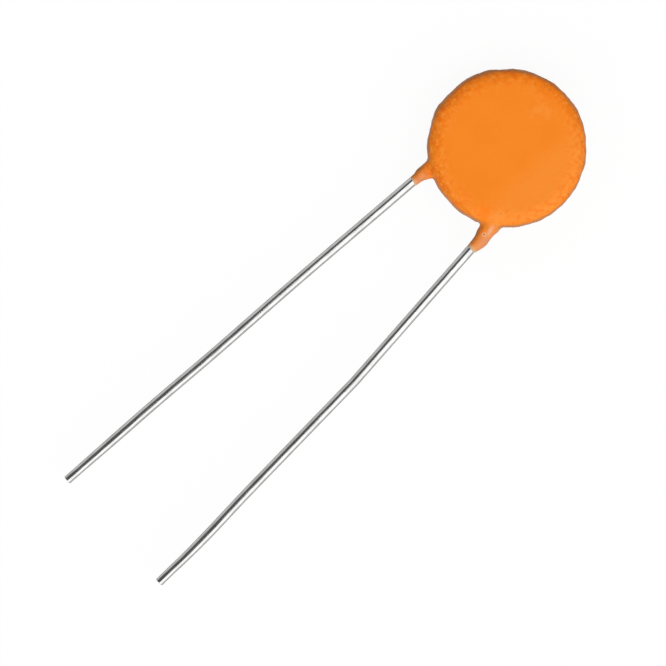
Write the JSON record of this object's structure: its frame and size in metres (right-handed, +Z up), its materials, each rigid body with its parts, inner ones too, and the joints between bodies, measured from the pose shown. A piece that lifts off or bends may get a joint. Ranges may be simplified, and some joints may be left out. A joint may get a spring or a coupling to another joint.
{
  "type": "ceramic disc capacitor",
  "caption": "Radial disc capacitor: a ceramic disc between silver electrodes with soldered wire leads, dipped in orange resin.",
  "frame": {"origin": "centre of the flat coated face that the capacitor rests on", "axes": "+Z up through the disc, the leads run towards -Y, and the lead soldered to the upper electrode is on +X"},
  "size_m": [0.01, 0.0395, 0.0028],
  "materials": {
    "ceramic": "matte",
    "electrode": "matte",
    "solder": "satin",
    "lead_wire": "satin",
    "coating": "satin"
  },
  "bodies": {
    "root": {"ceramic_disc": "ceramic", "upper_electrode": "electrode", "lower_electrode": "electrode", "right_solder_joint": "solder", "left_solder_joint": "solder", "right_lead": "lead_wire", "left_lead": "lead_wire", "coating": "coating"}
  },
  "joints": []
}
